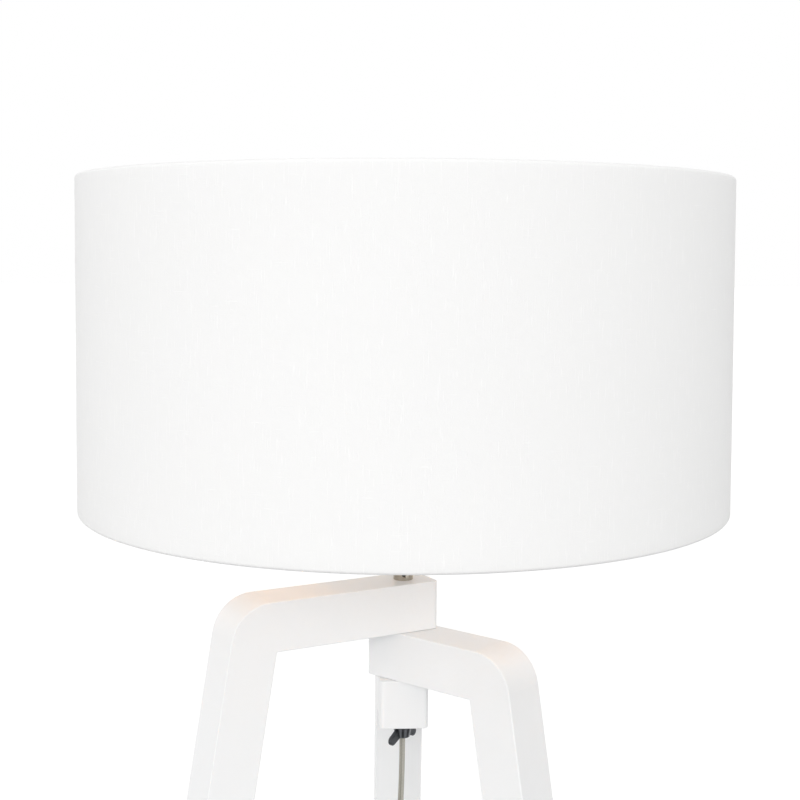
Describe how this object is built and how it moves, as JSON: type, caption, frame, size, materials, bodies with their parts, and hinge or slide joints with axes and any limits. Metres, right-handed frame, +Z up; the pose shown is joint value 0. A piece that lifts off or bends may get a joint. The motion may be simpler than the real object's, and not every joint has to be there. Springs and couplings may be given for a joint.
{
  "type": "tripod floor lamp",
  "caption": "Floor lamp: L-shaped legs stacked and clamped at one hub, a drum shade on a short stem above, lead hanging from the hub.",
  "frame": {"origin": "bottom centre of the lamp's box on the floor, without the loose lead; the lamp's upright axis stands 29.7 mm to +X and 4.2 mm to -Y of it", "axes": "+Z up, along the lamp's upright axis; -Y towards the viewer of the lamp's front; +X to that viewer's right"},
  "size_m": [0.5596, 0.5088, 1.45],
  "materials": {
    "painted_wood": "satin white paint",
    "glide_plastic": "matt",
    "zinc_steel": "zinc plated",
    "dark_steel": "dark nickel plated",
    "nickel": "polished nickel",
    "clear_plastic": "clear",
    "holder_plastic": "smooth",
    "holder_ceramic": "unglazed",
    "brass": "bare",
    "copper_core": "stranded copper",
    "lead_sheath": "clear over tinned copper",
    "bulb_glass": "clear",
    "filament": "glowing tungsten",
    "black_glass": "glossy",
    "painted_wire": "white epoxy",
    "shade_liner": "matt white sheet",
    "linen": "white slub linen",
    "tie_plastic": "matt",
    "white_plastic": "smooth",
    "spring_steel": "bright",
    "sleeve_plastic": "matt"
  },
  "bodies": {
    "stand": {"leg_left": "painted_wood", "glide_left": "glide_plastic", "threaded_tube": "zinc_steel", "tube_bush": "clear_plastic", "stem": "nickel", "holder_cap": "holder_plastic", "tube_locknut": "zinc_steel", "cord_grip": "holder_plastic", "cord_grip_screws": "zinc_steel", "core_wires": "copper_core", "terminal_screws": "brass", "holder_core": "holder_ceramic", "centre_contact": "brass", "screw_shell": "nickel", "holder_skirt": "holder_plastic", "cord_inside": "lead_sheath", "cord_hanging": "lead_sheath", "cord_floor": "lead_sheath", "cord_coil": "lead_sheath", "coil_tie": "tie_plastic", "cord_tail": "lead_sheath", "switch_base": "white_plastic", "switch_cover": "white_plastic", "switch_spring": "spring_steel", "switch_contacts": "brass", "switch_terminal_screws": "brass", "switch_housing_screws": "zinc_steel", "switch_sleeve_in": "white_plastic", "switch_sleeve_out": "white_plastic", "plug_body": "white_plastic", "plug_pins": "nickel", "plug_pin_sleeves": "sleeve_plastic", "plug_strain_relief": "white_plastic"},
    "right_leg": {"leg_right": "painted_wood", "glide_right": "glide_plastic"},
    "rear_leg": {"leg_rear": "painted_wood", "glide_rear": "glide_plastic"},
    "washer": {"washer": "zinc_steel"},
    "wing_nut": {"wing_nut": "dark_steel"},
    "shade": {"shade_fabric": "linen", "shade_liner": "shade_liner", "shade_lower_frame": "painted_wire", "shade_upper_ring": "painted_wire"},
    "lower_shade_ring": {"lower_shade_ring": "holder_plastic"},
    "upper_shade_ring": {"upper_shade_ring": "holder_plastic"},
    "bulb_base": {"bulb_tip_contact": "brass", "bulb_insulator": "black_glass"},
    "bulb": {"bulb_glass": "bulb_glass", "bulb_glass_mount": "bulb_glass", "bulb_filament": "filament", "bulb_screw_cap": "nickel"},
    "switch_button": {"switch_button": "white_plastic"}
  },
  "joints": [
    {"name": "right_leg_swing", "type": "hinge", "parent": "stand", "child": "right_leg", "pos_m": [0.02966, -0.00422, 1.0225], "axis": [0, 0, -1], "range_deg": [-249.2, 110.8]},
    {"name": "rear_leg_swing", "type": "hinge", "parent": "stand", "child": "rear_leg", "pos_m": [0.02966, -0.00422, 1.0225], "axis": [0, 0, 1], "range_deg": [-243.9, 116.1]},
    {"name": "washer_drop", "type": "slide", "parent": "stand", "child": "washer", "axis": [0, 0, -1], "range_m": [0, 0.003]},
    {"name": "wing_nut_turn", "type": "hinge", "parent": "washer", "child": "wing_nut", "pos_m": [0.02966, -0.00422, 1.0205], "axis": [0, 0, -1], "range_deg": [0, 1085]},
    {"name": "shade_turn", "type": "hinge", "parent": "stand", "child": "shade", "pos_m": [0.02966, -0.00422, 1.222], "axis": [0, 0, 1], "continuous": true},
    {"name": "lower_shade_ring_turn", "type": "hinge", "parent": "stand", "child": "lower_shade_ring", "pos_m": [0.02966, -0.00422, 1.218], "axis": [0, 0, -1], "range_deg": [0, 360]},
    {"name": "upper_shade_ring_turn", "type": "hinge", "parent": "stand", "child": "upper_shade_ring", "pos_m": [0.02966, -0.00422, 1.228], "axis": [0, 0, 1], "range_deg": [0, 1080]},
    {"name": "bulb_rise", "type": "slide", "parent": "stand", "child": "bulb_base", "axis": [0, 0, 1], "range_m": [0, 0.01452]},
    {"name": "bulb_turn", "type": "hinge", "parent": "bulb_base", "child": "bulb", "pos_m": [0.02966, -0.00422, 1.2138], "axis": [0, 0, 1], "range_deg": [0, 1445]},
    {"name": "switch_button_press", "type": "slide", "parent": "stand", "child": "switch_button", "axis": [0, 0, -1], "range_m": [0, 0.003], "stiffness_N_per_m": 700, "springref_m": -0.002, "deforming": ["switch_spring"]}
  ],
  "couplings": [
    {"joint": "wing_nut_turn", "follows": "washer_drop", "rad_per_m": 6283.2},
    {"joint": "bulb_turn", "follows": "bulb_rise", "rad_per_m": 1730.9}
  ]
}
